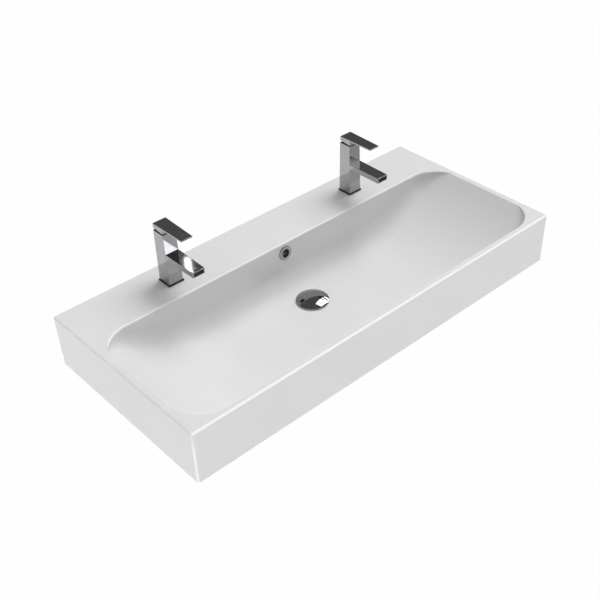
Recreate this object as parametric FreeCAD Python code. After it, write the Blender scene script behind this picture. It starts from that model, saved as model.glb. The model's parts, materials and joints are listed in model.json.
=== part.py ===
"""Wall-hung trough hand basin with two lever taps, a push-open waste and an overflow.

Millimetres and degrees. +Z is up, +Y points into the wall, +X runs along the basin, to the right of a
person who faces it. The origin lies on the wall, midway between the two wall bolts.
"""
import FreeCAD
import Part
import math
import os

Vector = FreeCAD.Vector
UP = Vector(0, 0, 1)
ACROSS = Vector(1, 0, 0)
BACKWARD = Vector(0, 1, 0)
ORIGIN = Vector(0, 0, 0)

# Shared values
CUT_OVERRUN = 2.0
THREAD_GAP = 0.1
RUNNING_GAP = 0.06
SAME_PLACE = 1e-6
HEX_SIDES = 6

# Basin, outside
BASIN_WIDTH = 1000.0
BASIN_DEPTH = 455.0
BASIN_HEIGHT = 125.0
DECK_ABOVE_BOLTS = 70.0
BASIN_EDGE_RADIUS = 5.0
BASIN_FOOT_RADIUS = 3.0
APRON_THICKNESS = 14.0
DECK_THICKNESS = 16.0
WALL_HOLE_SPACING = 280.0
WALL_HOLE_RADIUS = 11.0

# Basin, bowl
BOWL_DEPTH = 110.0
BACK_DECK = 123.0
FRONT_RIM = 15.5
END_RIM = 14.0
BOWL_CORNER_RADIUS = 75.0
BOWL_HEEL_RADIUS = 48.0
BOWL_HEEL_DEPTH_SHARE = 0.65
BOWL_RIM_RADIUS = 5.0
BOWL_RIM_ROOM_SHARE = 0.3
BOWL_WALL_DRAFT = 3.5
BOWL_RIM_TURN = 75.0
END_SLOPE = 42.0
END_LIP_RADIUS = 6.0
END_LIP_LAST_TURN = 30.0
SWEEP_STEPS = 12
LIP_STEPS = 2
BOWL_SHELL = 12.0

# Overflow
OVERFLOW_BELOW_DECK = 26.0
OVERFLOW_HOLE_RADIUS = 12.5
OVERFLOW_SLEEVE_GAP = 0.3
OVERFLOW_SLEEVE_LENGTH = 7.0
OVERFLOW_RING_RADIUS = 16.5
OVERFLOW_RING_THICKNESS = 2.6
OVERFLOW_RING_EDGE_RADIUS = 1.2
OVERFLOW_BORE_RADIUS = 10.2
CHANNEL_WIDTH = 34.0
CHANNEL_DEPTH = 16.0
CHANNEL_HEIGHT = 7.0
CHANNEL_SKIN = 7.0
CHANNEL_FLOOR_SKIN = 6.0

# Waste
WASTE_FROM_WALL = 211.0
WASTE_HOLE_RADIUS = 23.0
WASTE_BOSS_RADIUS = 38.0
WASTE_BOSS_THICKNESS = 20.0
WASTE_RECESS_RADIUS = 33.0
WASTE_RECESS_DEPTH = 3.5
FLANGE_RADIUS = 32.0
FLANGE_THICKNESS = 2.5
FLANGE_MOUTH_RADIUS = 20.5
FLANGE_MOUTH_DEPTH = 3.2
UPPER_SEAL_WIDTH = 8.0
UPPER_SEAL_THICKNESS = 1.2
TAIL_RADIUS = 20.95
TAIL_WALL = 3.45
TAIL_FREE_LENGTH = 44.0
TAIL_RELIEF_BELOW_NUT = 2.0
TAIL_RELIEF_LENGTH = 2.0
TAIL_RELIEF_DEPTH = 0.6
TAIL_SLOT_WIDTH = 14.0
TAIL_SLOT_COUNT = 4
LOWER_GASKET_WIDTH = 12.0
LOWER_GASKET_THICKNESS = 5.0
BACKNUT_FLATS = 56.0
BACKNUT_HEIGHT = 12.0
BRIDGE_DEPTH = 33.0
BRIDGE_HEIGHT = 5.0
BRIDGE_SPOKE_WIDTH = 4.0
BRIDGE_SPOKE_COUNT = 3
BRIDGE_HUB_RADIUS = 8.0
CLICKER_RADIUS = 7.0
CLICKER_HEIGHT = 28.0
CLICKER_SPIGOT_RADIUS = 4.9
CLICKER_FLOOR = 1.5
CLICKER_ROOF = 3.0
CHAMBER_RADIUS = 5.6
STEM_RADIUS = 3.4
STEM_COLLAR_RADIUS = 5.3
STEM_COLLAR_HEIGHT = 3.0
STEM_COLLAR_RISE = 9.5
STEM_THREAD_RADIUS = 2.5
STEM_THREAD_LENGTH = 7.0
SPRING_RADIUS = 5.0
SPRING_WIRE = 1.4
SPRING_END_GAP = 0.1
CAP_RADIUS = 37.0
CAP_EDGE_HEIGHT = 2.2
CAP_DOME_RISE = 7.0
CAP_ABOVE_FLANGE = 1.2
CAP_BOSS_RADIUS = 6.0
CAP_BOSS_LENGTH = 5.0
CAP_SEAL_RADIUS = 27.0
CAP_SEAL_WIDTH = 3.0
CAP_SEAL_CLEARANCE = 0.3

# Taps, outside
TAP_SPACING = 516.0
TAP_FROM_WALL = 63.5
DECK_HOLE_RADIUS = 16.5
GASKET_WIDTH = 37.0
GASKET_THICKNESS = 1.0
PLATE_WIDTH = 38.0
PLATE_THICKNESS = 2.6
PLATE_EDGE_RADIUS = 0.4
COLUMN_BASE_WIDTH = 34.8
COLUMN_TOP_WIDTH = 32.0
COLUMN_TOP_HEIGHT = 124.0
SPIGOT_RADIUS = 15.5
SPIGOT_GAP = 0.5
SPOUT_BELOW_TOP = 45.2
SPOUT_THICKNESS = 13.0
SPOUT_REACH = 106.0
SPOUT_ROOT_WIDTH = 32.6
SPOUT_END_WIDTH = 28.8
TAP_EDGE_RADIUS = 0.8

# Taps, waterways
INLET_RADIUS = 4.5
INLET_DEPTH = 12.0
INLET_SPACING = 14.0
INLET_BACKWARD = 5.0
PASSAGE_RADIUS = 3.0
OUTLET_FORWARD = 7.0
OUTLET_RADIUS = 3.5
SPOUT_CHANNEL_WIDTH = 20.0
SPOUT_CHANNEL_HEIGHT = 5.0
SPOUT_MOUTH_WIDTH = 24.4
SPOUT_MOUTH_HEIGHT = 9.2
SPOUT_MOUTH_DEPTH = 6.0
STRAIGHTENER_SETBACK = 0.5
STRAIGHTENER_BORDER = 1.1
STRAIGHTENER_BAR = 1.0
STRAIGHTENER_SLOT_COUNT = 8

# Taps, cartridge
NUT_RECESS_DEPTH = 11.0
NUT_RADIUS = 14.3
NUT_HEIGHT = 7.0
NUT_SLOT_WIDTH = 4.0
NUT_SLOT_DEPTH = 2.0
CARTRIDGE_RADIUS = 12.9
CARTRIDGE_HEIGHT = 27.0
CARTRIDGE_WALL = 1.6
CARTRIDGE_FLOOR = 2.0
FIXED_DISC_THICKNESS = 3.0
DISC_GAP = 0.3
MOVING_DISC_RADIUS = 6.8
MOVING_DISC_THICKNESS = 4.0
MOVING_DISC_OFFSET = 2.0
MIXING_POCKET_DEPTH = 1.0
MIXING_POCKET_RADIUS = 5.4
CARRIER_ABOVE_DISC = 1.0
CARRIER_NECK_RADIUS = 10.0
CARRIER_NECK_HEIGHT = 8.5
NECK_GAP = 0.3
SPINDLE_SLOT_GAP = 0.6
PIVOT_BELOW_TOP = 16.0
PIVOT_PIN_RADIUS = 1.5
PIVOT_PIN_LENGTH = 19.0
SPINDLE_WIDTH = 7.0
SPINDLE_SHANK_BELOW_PIVOT = 8.0
SPINDLE_FOOT_RADIUS = 2.0
SPINDLE_FOOT_NECK_RADIUS = 1.6
FOOT_GAP = 0.35
FOOT_POCKET_FLOOR = 2.0
TRIM_WIDTH = 30.0
TRIM_THICKNESS = 1.2

# Taps, lever
LIFT_RANGE = 16.0
LEVER_FRONT_GAP = 3.0
LEVER_BACK_GAP = 7.0
LEVER_TOP_RISE = 16.5
LEVER_BACK_SETBACK = 1.2
LEVER_OVERHANG = 62.5
LEVER_BACK_WIDTH = 32.0
LEVER_FRONT_WIDTH = 27.2
LEVER_PLATE_THICKNESS = 3.0
LEVER_EDGE_RADIUS = 0.6
LEVER_ROOF = 2.8
SOCKET_GAP = 0.15
SCREW_RADIUS = 1.95
SCREW_LENGTH = 7.0
SCREW_BELOW_TOP = 3.6
PLUG_RADIUS = 2.4
PLUG_LENGTH = 2.6

# Taps, clamp under the deck
STUD_RADIUS = 3.9
STUD_FORWARD = 10.0
STUD_IN_BODY = 13.0
STUD_PROJECTION = 14.0
CLAMP_RADIUS = 26.0
CLAMP_SLOT_WIDTH = 27.0
CLAMP_SLOT_FRONT = 3.0
CLAMP_GASKET_THICKNESS = 3.0
CLAMP_WASHER_THICKNESS = 2.5
CLAMP_STUD_GAP = 0.4
CLAMP_NUT_FLATS = 13.0
CLAMP_NUT_HEIGHT = 6.5

# Places that several pieces share
deck_z = DECK_ABOVE_BOLTS
bottom_z = deck_z - BASIN_HEIGHT
floor_z = deck_z - BOWL_DEPTH
half_width = BASIN_WIDTH / 2
bowl_back_y = -BACK_DECK
bowl_front_y = FRONT_RIM - BASIN_DEPTH
bowl_half_length = half_width - END_RIM
draft = math.radians(BOWL_WALL_DRAFT)
boss_underside = -WASTE_BOSS_THICKNESS
boss_base_z = floor_z - WASTE_BOSS_THICKNESS
backnut_base = boss_underside - LOWER_GASKET_THICKNESS - BACKNUT_HEIGHT
tail_relief_top = backnut_base - TAIL_RELIEF_BELOW_NUT
tail_relief_base = tail_relief_top - TAIL_RELIEF_LENGTH
tail_end = tail_relief_base - TAIL_FREE_LENGTH
flange_top = UPPER_SEAL_THICKNESS + FLANGE_THICKNESS - WASTE_RECESS_DEPTH
cap_underside = flange_top + CAP_ABOVE_FLANGE
clicker_base = -BRIDGE_DEPTH
clicker_top = clicker_base + CLICKER_HEIGHT
chamber_floor = clicker_base + CLICKER_FLOOR
collar_bottom = chamber_floor + STEM_COLLAR_RISE
column_front_y = -COLUMN_TOP_WIDTH / 2
spout_top = COLUMN_TOP_HEIGHT - SPOUT_BELOW_TOP
body_base = GASKET_THICKNESS + PLATE_THICKNESS
cartridge_seat = COLUMN_TOP_HEIGHT - NUT_RECESS_DEPTH - CARTRIDGE_HEIGHT
cartridge_top = cartridge_seat + CARTRIDGE_HEIGHT
cartridge_bore = CARTRIDGE_RADIUS - CARTRIDGE_WALL
fixed_disc_base = cartridge_seat + CARTRIDGE_FLOOR
moving_disc_base = fixed_disc_base + FIXED_DISC_THICKNESS + DISC_GAP
moving_disc_top = moving_disc_base + MOVING_DISC_THICKNESS
carrier_base = moving_disc_top + CARRIER_ABOVE_DISC
pivot_height = COLUMN_TOP_HEIGHT - PIVOT_BELOW_TOP
foot_height = moving_disc_base + FOOT_POCKET_FLOOR + FOOT_GAP + SPINDLE_FOOT_RADIUS
lever_top = COLUMN_TOP_HEIGHT + LEVER_TOP_RISE
lever_back_y = COLUMN_TOP_WIDTH / 2 - LEVER_BACK_SETBACK
lever_front_y = column_front_y - LEVER_OVERHANG
spindle_top = lever_top - LEVER_ROOF
screw_height = lever_top - SCREW_BELOW_TOP


def block(x0, x1, y0, y1, z0, z1):
    return Part.makeBox(x1 - x0, y1 - y0, z1 - z0, Vector(x0, y0, z0))


def centred_block(width, length, z0, z1):
    return block(-width / 2, width / 2, -length / 2, length / 2, z0, z1)


def rod(radius, z0, z1, x=0, y=0):
    return Part.makeCylinder(radius, z1 - z0, Vector(x, y, z0), UP)


def ring(outer, inner, z0, z1):
    return rod(outer, z0, z1).cut(rod(inner, z0 - CUT_OVERRUN, z1 + CUT_OVERRUN))


def hex_nut(flats, inner, z0, z1):
    corner = flats / 2 / math.cos(math.pi / HEX_SIDES)
    corners = []
    for step in range(HEX_SIDES + 1):
        angle = 2 * math.pi * step / HEX_SIDES
        corners.append(Vector(corner * math.cos(angle), corner * math.sin(angle), z0))
    prism = Part.Face(Part.makePolygon(corners)).extrude(UP * (z1 - z0))
    return prism.cut(rod(inner, z0 - CUT_OVERRUN, z1 + CUT_OVERRUN))


def tapered_post(base_width, top_width, z0, z1):
    base, top = base_width / 2, top_width / 2
    post = Part.makeWedge(-base, 0, -base, -top, -top, base, z1 - z0, base, top, top)
    post.rotate(ORIGIN, ACROSS, 90)
    post.translate(UP * z0)
    return post


def tapered_plate(back_width, back_y, front_width, front_y, z0, z1):
    back, front = back_width / 2, front_width / 2
    corners = [(-back, back_y), (back, back_y), (front, front_y), (-front, front_y), (-back, back_y)]
    return Part.Face(Part.makePolygon([Vector(x, y, z0) for x, y in corners])).extrude(UP * (z1 - z0))


def revolved(points):
    """A solid turned about the Z axis from a closed outline of (radius, height) points."""
    outline = Part.makePolygon([Vector(r, 0, z) for r, z in points + points[:1]])
    return Part.Face(outline).revolve(ORIGIN, UP, 360)


def edges_where(shape, test):
    return [edge for edge in shape.Edges if test(edge.CenterOfMass)]


def near(a, b):
    return math.isclose(a, b, abs_tol=SAME_PLACE)


def floor_stations():
    """Places along one end of the bowl, from the level floor up to its lip, as (x, depth)."""
    slope = math.radians(END_SLOPE)
    both_radii = BOWL_DEPTH / (1 - math.cos(slope))
    sweep_radius = both_radii - END_LIP_RADIUS
    level_half = bowl_half_length - both_radii * math.sin(slope)
    stations = []
    for step in range(SWEEP_STEPS + 1):
        turn = slope * step / SWEEP_STEPS
        rise = sweep_radius * (1 - math.cos(turn))
        stations.append((level_half + sweep_radius * math.sin(turn), BOWL_DEPTH - rise))
    last_turn = math.radians(END_LIP_LAST_TURN)
    for step in range(1, LIP_STEPS + 1):
        turn = slope + (last_turn - slope) * step / LIP_STEPS
        drop = END_LIP_RADIUS * (1 - math.cos(turn))
        stations.append((bowl_half_length - END_LIP_RADIUS * math.sin(turn), drop))
    return stations


def corner_inset(x):
    """How far the bowl's rounded corner draws a long wall in at this place along the bowl."""
    past = x - (bowl_half_length - BOWL_CORNER_RADIUS)
    if past <= 0:
        return 0
    return BOWL_CORNER_RADIUS - math.sqrt(BOWL_CORNER_RADIUS ** 2 - past ** 2)


def heel_radius(depth):
    share = depth / BOWL_DEPTH
    return min(BOWL_HEEL_RADIUS * share * (2 - share), depth * BOWL_HEEL_DEPTH_SHARE)


def bowl_side(depth):
    """One long wall of the bowl's section, as (inset, depth) points from above the rim to the floor."""
    rim = min(BOWL_RIM_RADIUS, depth * BOWL_RIM_ROOM_SHARE)
    heel = heel_radius(depth)
    last = math.radians(BOWL_RIM_TURN)
    rim_centre = -rim * (1 - math.sin(draft)) / math.cos(draft)
    heel_centre = (heel + (depth - heel) * math.sin(draft)) / math.cos(draft)

    def on_rim(turn):
        return rim_centre + rim * math.cos(turn), rim - rim * math.sin(turn)

    def on_heel(turn):
        return heel_centre - heel * math.cos(turn), depth - heel + heel * math.sin(turn)

    rim_end = on_rim(last)
    run_out = (rim_end[1] + CUT_OVERRUN) / math.cos(last)
    above = (rim_end[0] - run_out * math.sin(last), -CUT_OVERRUN)
    level = math.pi / 2
    return [above, rim_end, on_rim((draft + last) / 2), on_rim(draft),
            on_heel(draft), on_heel((draft + level) / 2), on_heel(level)]


def bowl_section(x, depth):
    """The bowl's hollow cut across at x."""
    inset = corner_inset(x)
    side = bowl_side(depth)
    back = [Vector(x, bowl_back_y - inset - u, deck_z - d) for u, d in side]
    front = [Vector(x, bowl_front_y + inset + u, deck_z - d) for u, d in side]
    edges = []
    for wall in (back, front):
        edges.append(Part.makeLine(wall[0], wall[1]))
        edges.append(Part.Arc(wall[1], wall[2], wall[3]).toShape())
        edges.append(Part.makeLine(wall[3], wall[4]))
        edges.append(Part.Arc(wall[4], wall[5], wall[6]).toShape())
    edges.append(Part.makeLine(back[6], front[6]))
    edges.append(Part.makeLine(front[0], back[0]))
    return Part.Wire(Part.__sortEdges__(edges))


def shell_section(x, depth):
    """The outside of the bowl's shell cut across at x, as it stands in the hollow underside."""
    inset = corner_inset(x)
    deep = depth + BOWL_SHELL
    heel = heel_radius(depth) + BOWL_SHELL * depth / BOWL_DEPTH
    heel_centre = (heel + (deep - heel) * math.sin(draft)) / math.cos(draft) - BOWL_SHELL
    level = math.pi / 2
    side = [(-BOWL_SHELL, 0)]
    for turn in (draft, (draft + level) / 2, level):
        side.append((heel_centre - heel * math.cos(turn), deep - heel + heel * math.sin(turn)))
    back = [Vector(x, bowl_back_y - inset - u, deck_z - d) for u, d in side]
    front = [Vector(x, bowl_front_y + inset + u, deck_z - d) for u, d in side]
    edges = []
    for wall in (back, front):
        edges.append(Part.makeLine(wall[0], wall[1]))
        edges.append(Part.Arc(wall[1], wall[2], wall[3]).toShape())
    edges.append(Part.makeLine(back[3], front[3]))
    edges.append(Part.makeLine(front[0], back[0]))
    return Part.Wire(Part.__sortEdges__(edges))


def trough(section):
    """A level middle and two rising ends, all made from one kind of cross-section."""
    stations = floor_stations()
    first_x, first_depth = stations[0]
    middle = Part.Face(section(first_x, first_depth)).extrude(ACROSS * (-2 * first_x))
    right = Part.makeLoft([section(x, depth) for x, depth in stations], True, False)
    left = right.mirror(ORIGIN, ACROSS)
    return middle.fuse([right, left])


def basin_outside():
    shape = block(-half_width, half_width, -BASIN_DEPTH, 0, bottom_z, deck_z)

    def shown(centre):
        top = near(centre.z, deck_z) and not near(centre.y, 0)
        upright = near(abs(centre.x), half_width) and near(centre.y, -BASIN_DEPTH)
        return top or (upright and not near(centre.z, bottom_z))

    def foot(centre):
        return near(centre.z, bottom_z) and not near(centre.y, 0)

    shape = shape.makeFillet(BASIN_EDGE_RADIUS, edges_where(shape, shown))
    return shape.makeFillet(BASIN_FOOT_RADIUS, edges_where(shape, foot))


def underside_hollow():
    room = block(APRON_THICKNESS - half_width, half_width - APRON_THICKNESS,
                 APRON_THICKNESS - BASIN_DEPTH, -APRON_THICKNESS,
                 bottom_z - CUT_OVERRUN, deck_z - DECK_THICKNESS)
    return room.cut(trough(shell_section))


def at_overflow(shape):
    """Puts a shape made along +Z, with z = 0 on the bowl's wall, into the overflow's place."""
    placed = shape.copy()
    placed.rotate(ORIGIN, ACROSS, -90 - BOWL_WALL_DRAFT)
    inset = OVERFLOW_BELOW_DECK * math.tan(draft)
    placed.translate(Vector(0, bowl_back_y - inset, deck_z - OVERFLOW_BELOW_DECK))
    return placed


def overflow_housing():
    """The ceramic round the overflow's channel, down the back wall and under the floor."""
    half = CHANNEL_WIDTH / 2 + CHANNEL_SKIN
    back_y = bowl_back_y + CHANNEL_SKIN + CHANNEL_DEPTH + CHANNEL_SKIN
    return block(-half, half, -WASTE_FROM_WALL, back_y, boss_base_z, deck_z - DECK_THICKNESS / 2)


def overflow_channel():
    half = CHANNEL_WIDTH / 2
    front_y = bowl_back_y + CHANNEL_SKIN
    back_y = front_y + CHANNEL_DEPTH
    low_z = floor_z - CHANNEL_FLOOR_SKIN - CHANNEL_HEIGHT
    top_z = deck_z - OVERFLOW_BELOW_DECK + OVERFLOW_HOLE_RADIUS
    down = block(-half, half, front_y, back_y, low_z, top_z)
    along = block(-half, half, -WASTE_FROM_WALL, back_y, low_z, low_z + CHANNEL_HEIGHT)
    return down.fuse(along)


def basin():
    shape = basin_outside().cut(underside_hollow())
    boss = rod(WASTE_BOSS_RADIUS, boss_base_z, floor_z, 0, -WASTE_FROM_WALL)
    shape = shape.fuse([boss, overflow_housing()])
    shape = shape.cut(trough(bowl_section))
    tools = [overflow_channel()]
    tools.append(rod(WASTE_HOLE_RADIUS, boss_base_z - CUT_OVERRUN, floor_z + CUT_OVERRUN,
                     0, -WASTE_FROM_WALL))
    tools.append(rod(WASTE_RECESS_RADIUS, floor_z - WASTE_RECESS_DEPTH, floor_z + CUT_OVERRUN,
                     0, -WASTE_FROM_WALL))
    wall_to_channel = CHANNEL_SKIN + CUT_OVERRUN
    tools.append(at_overflow(rod(OVERFLOW_HOLE_RADIUS, -CUT_OVERRUN, wall_to_channel)))
    for side in (-1, 1):
        tools.append(rod(DECK_HOLE_RADIUS, deck_z - DECK_THICKNESS - CUT_OVERRUN, deck_z + CUT_OVERRUN,
                         side * TAP_SPACING / 2, -TAP_FROM_WALL))
        start = Vector(side * WALL_HOLE_SPACING / 2, -APRON_THICKNESS - CUT_OVERRUN, 0)
        tools.append(Part.makeCylinder(WALL_HOLE_RADIUS, APRON_THICKNESS + 2 * CUT_OVERRUN, start, BACKWARD))
    return shape.cut(tools).removeSplitter()


def overflow_ring():
    flange = rod(OVERFLOW_RING_RADIUS, -OVERFLOW_RING_THICKNESS, 0)
    front = edges_where(flange, lambda centre: near(centre.z, -OVERFLOW_RING_THICKNESS))
    flange = flange.makeFillet(OVERFLOW_RING_EDGE_RADIUS, front)
    sleeve = rod(OVERFLOW_HOLE_RADIUS - OVERFLOW_SLEEVE_GAP, 0, OVERFLOW_SLEEVE_LENGTH)
    bore = rod(OVERFLOW_BORE_RADIUS, -OVERFLOW_RING_THICKNESS - CUT_OVERRUN,
               OVERFLOW_SLEEVE_LENGTH + CUT_OVERRUN)
    return at_overflow(flange.fuse(sleeve).cut(bore))


# Waste pieces, made with the bowl's floor at z = 0 and the waste's axis on Z

def waste_body():
    bore = TAIL_RADIUS - TAIL_WALL
    relief = TAIL_RADIUS - TAIL_RELIEF_DEPTH
    flange_base = flange_top - FLANGE_THICKNESS
    shape = revolved([
        (FLANGE_MOUTH_RADIUS, flange_top), (FLANGE_RADIUS, flange_top), (FLANGE_RADIUS, flange_base),
        (TAIL_RADIUS, flange_base), (TAIL_RADIUS, tail_relief_top), (relief, tail_relief_top),
        (relief, tail_relief_base), (TAIL_RADIUS, tail_relief_base), (TAIL_RADIUS, tail_end),
        (bore, tail_end), (bore, flange_top - FLANGE_MOUTH_DEPTH)])
    slot_top = -CHANNEL_FLOOR_SKIN
    for step in range(TAIL_SLOT_COUNT):
        slot = block(0, TAIL_RADIUS + CUT_OVERRUN, -TAIL_SLOT_WIDTH / 2, TAIL_SLOT_WIDTH / 2,
                     slot_top - CHANNEL_HEIGHT, slot_top)
        slot.rotate(ORIGIN, UP, 360 * step / TAIL_SLOT_COUNT)
        shape = shape.cut(slot)
    hub = rod(BRIDGE_HUB_RADIUS, clicker_base - BRIDGE_HEIGHT, clicker_base)
    for step in range(BRIDGE_SPOKE_COUNT):
        spoke = block(0, bore + TAIL_WALL / 2, -BRIDGE_SPOKE_WIDTH / 2, BRIDGE_SPOKE_WIDTH / 2,
                      clicker_base - BRIDGE_HEIGHT, clicker_base)
        spoke.rotate(ORIGIN, UP, 360 * step / BRIDGE_SPOKE_COUNT)
        hub = hub.fuse(spoke)
    shape = shape.fuse(hub)
    return shape.cut(rod(CLICKER_SPIGOT_RADIUS + THREAD_GAP, clicker_base - BRIDGE_HEIGHT - CUT_OVERRUN,
                         clicker_base + CUT_OVERRUN))


def waste_upper_seal():
    base = -WASTE_RECESS_DEPTH
    return ring(FLANGE_RADIUS, FLANGE_RADIUS - UPPER_SEAL_WIDTH, base, base + UPPER_SEAL_THICKNESS)


def waste_lower_gasket():
    inner = TAIL_RADIUS + THREAD_GAP
    return ring(inner + LOWER_GASKET_WIDTH, inner, boss_underside - LOWER_GASKET_THICKNESS, boss_underside)


def waste_backnut():
    return hex_nut(BACKNUT_FLATS, TAIL_RADIUS + THREAD_GAP, backnut_base, backnut_base + BACKNUT_HEIGHT)


def clicker_housing():
    outside = rod(CLICKER_RADIUS, clicker_base, clicker_top)
    outside = outside.fuse(rod(CLICKER_SPIGOT_RADIUS, clicker_base - BRIDGE_HEIGHT, clicker_base))
    chamber = rod(CHAMBER_RADIUS, chamber_floor, clicker_top - CLICKER_ROOF)
    neck = rod(STEM_RADIUS + RUNNING_GAP, chamber_floor, clicker_top + CUT_OVERRUN)
    return outside.cut([chamber, neck])


def clicker_spring():
    return ring(SPRING_RADIUS, SPRING_RADIUS - SPRING_WIRE, chamber_floor + SPRING_END_GAP,
                collar_bottom - SPRING_END_GAP)


def clicker_stem():
    shoulder = cap_underside - CAP_BOSS_LENGTH
    collar = rod(STEM_COLLAR_RADIUS, collar_bottom, collar_bottom + STEM_COLLAR_HEIGHT)
    shank = rod(STEM_RADIUS, collar_bottom, shoulder)
    thread = rod(STEM_THREAD_RADIUS, collar_bottom, shoulder + STEM_THREAD_LENGTH - THREAD_GAP)
    return collar.fuse([shank, thread])


def waste_cap():
    edge_top = cap_underside + CAP_EDGE_HEIGHT
    crown = edge_top + CAP_DOME_RISE
    dome_radius = (CAP_RADIUS ** 2 + CAP_DOME_RISE ** 2) / (2 * CAP_DOME_RISE)
    mid = CAP_RADIUS / 2
    mid_z = crown - dome_radius + math.sqrt(dome_radius ** 2 - mid ** 2)
    boss_base = cap_underside - CAP_BOSS_LENGTH
    corners = [(0, crown), (0, boss_base), (CAP_BOSS_RADIUS, boss_base), (CAP_BOSS_RADIUS, cap_underside),
               (CAP_RADIUS, cap_underside), (CAP_RADIUS, edge_top)]
    points = [Vector(r, 0, z) for r, z in corners]
    edges = [Part.makeLine(a, b) for a, b in zip(points, points[1:])]
    edges.append(Part.Arc(points[-1], Vector(mid, 0, mid_z), points[0]).toShape())
    dome = Part.Face(Part.Wire(edges)).revolve(ORIGIN, UP, 360)
    return dome.cut(rod(STEM_THREAD_RADIUS + THREAD_GAP, boss_base - CUT_OVERRUN,
                        boss_base + STEM_THREAD_LENGTH))


def cap_seal():
    return ring(CAP_SEAL_RADIUS, CAP_SEAL_RADIUS - CAP_SEAL_WIDTH, flange_top + CAP_SEAL_CLEARANCE,
                cap_underside)


# Tap pieces, made with the deck at z = 0 and the tap's axis on Z, its spout towards -Y

def tap_base_gasket():
    pad = centred_block(GASKET_WIDTH, GASKET_WIDTH, 0, GASKET_THICKNESS)
    return pad.cut(rod(SPIGOT_RADIUS + SPIGOT_GAP, -CUT_OVERRUN, GASKET_THICKNESS + CUT_OVERRUN))


def tap_base_plate():
    plate = centred_block(PLATE_WIDTH, PLATE_WIDTH, GASKET_THICKNESS, body_base)
    top = edges_where(plate, lambda centre: near(centre.z, body_base))
    plate = plate.makeFillet(PLATE_EDGE_RADIUS, top)
    return plate.cut(rod(SPIGOT_RADIUS + SPIGOT_GAP, -CUT_OVERRUN, body_base + CUT_OVERRUN))


def tap_column():
    column = tapered_post(COLUMN_BASE_WIDTH, COLUMN_TOP_WIDTH, body_base, COLUMN_TOP_HEIGHT)
    mid_height = (body_base + COLUMN_TOP_HEIGHT) / 2
    upright = edges_where(column, lambda centre: near(centre.z, mid_height))
    column = column.makeFillet(TAP_EDGE_RADIUS, upright)
    return column.fuse(rod(SPIGOT_RADIUS, GASKET_THICKNESS, body_base))


def tap_spout():
    spout = tapered_plate(SPOUT_ROOT_WIDTH, 0, SPOUT_END_WIDTH, -SPOUT_REACH,
                          spout_top - SPOUT_THICKNESS, spout_top)
    return spout.makeFillet(TAP_EDGE_RADIUS, edges_where(spout, lambda centre: not near(centre.y, 0)))


def mouth_block(room, y0, y1):
    """A block as large as the mouth in the spout's end, less some room all round."""
    half_wide = SPOUT_MOUTH_WIDTH / 2 - room
    half_high = SPOUT_MOUTH_HEIGHT / 2 - room
    middle = spout_top - SPOUT_THICKNESS / 2
    return block(-half_wide, half_wide, y0, y1, middle - half_high, middle + half_high)


def spout_channel():
    """The waterway from below the cartridge to the mouth in the spout's end."""
    low = spout_top - SPOUT_THICKNESS / 2 - SPOUT_CHANNEL_HEIGHT / 2
    mouth_back = SPOUT_MOUTH_DEPTH - SPOUT_REACH
    channel = block(-SPOUT_CHANNEL_WIDTH / 2, SPOUT_CHANNEL_WIDTH / 2, mouth_back - CUT_OVERRUN,
                    -OUTLET_FORWARD - OUTLET_RADIUS, low, low + SPOUT_CHANNEL_HEIGHT)
    throat = block(-OUTLET_RADIUS, OUTLET_RADIUS, -OUTLET_FORWARD - OUTLET_RADIUS - CUT_OVERRUN,
                   -OUTLET_FORWARD, low, low + SPOUT_CHANNEL_HEIGHT)
    drop = rod(OUTLET_RADIUS, low, cartridge_seat + CUT_OVERRUN, 0, -OUTLET_FORWARD)
    mouth = mouth_block(0, -SPOUT_REACH - CUT_OVERRUN, mouth_back)
    return [channel, throat, drop, mouth]


def tap_body():
    shape = tap_column().fuse(tap_spout())
    tools = spout_channel()
    top = COLUMN_TOP_HEIGHT + CUT_OVERRUN
    tools.append(rod(CARTRIDGE_RADIUS + THREAD_GAP, cartridge_seat, top))
    tools.append(rod(NUT_RADIUS + THREAD_GAP, cartridge_top, top))
    below = GASKET_THICKNESS - CUT_OVERRUN
    for side in (-1, 1):
        x = side * INLET_SPACING / 2
        tools.append(rod(INLET_RADIUS, below, GASKET_THICKNESS + INLET_DEPTH, x, INLET_BACKWARD))
        tools.append(rod(PASSAGE_RADIUS, below, cartridge_seat + CUT_OVERRUN, x, INLET_BACKWARD))
    tools.append(rod(STUD_RADIUS + THREAD_GAP, below, GASKET_THICKNESS + STUD_IN_BODY, 0, -STUD_FORWARD))
    return shape.cut(tools).removeSplitter()


def tap_straightener():
    """An insert in the spout's mouth, with upright slots between its bars."""
    front = STRAIGHTENER_SETBACK - SPOUT_REACH
    back = SPOUT_MOUTH_DEPTH - SPOUT_REACH
    insert = mouth_block(THREAD_GAP, front, back)
    window = mouth_block(STRAIGHTENER_BORDER, front - CUT_OVERRUN, back + CUT_OVERRUN)
    open_width = SPOUT_MOUTH_WIDTH - 2 * STRAIGHTENER_BORDER
    pitch = (open_width + STRAIGHTENER_BAR) / STRAIGHTENER_SLOT_COUNT
    for step in range(1, STRAIGHTENER_SLOT_COUNT):
        bar_x = step * pitch - STRAIGHTENER_BAR - open_width / 2
        window = window.cut(block(bar_x, bar_x + STRAIGHTENER_BAR, -SPOUT_REACH - 2 * CUT_OVERRUN, 0,
                                  0, spout_top))
    return insert.cut(window)


def water_ports(z0, z1):
    """The two inlet passages and the outlet passage through a flat piece of the cartridge."""
    ports = [rod(OUTLET_RADIUS, z0, z1, 0, -OUTLET_FORWARD)]
    for side in (-1, 1):
        ports.append(rod(PASSAGE_RADIUS, z0, z1, side * INLET_SPACING / 2, INLET_BACKWARD))
    return ports


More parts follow.
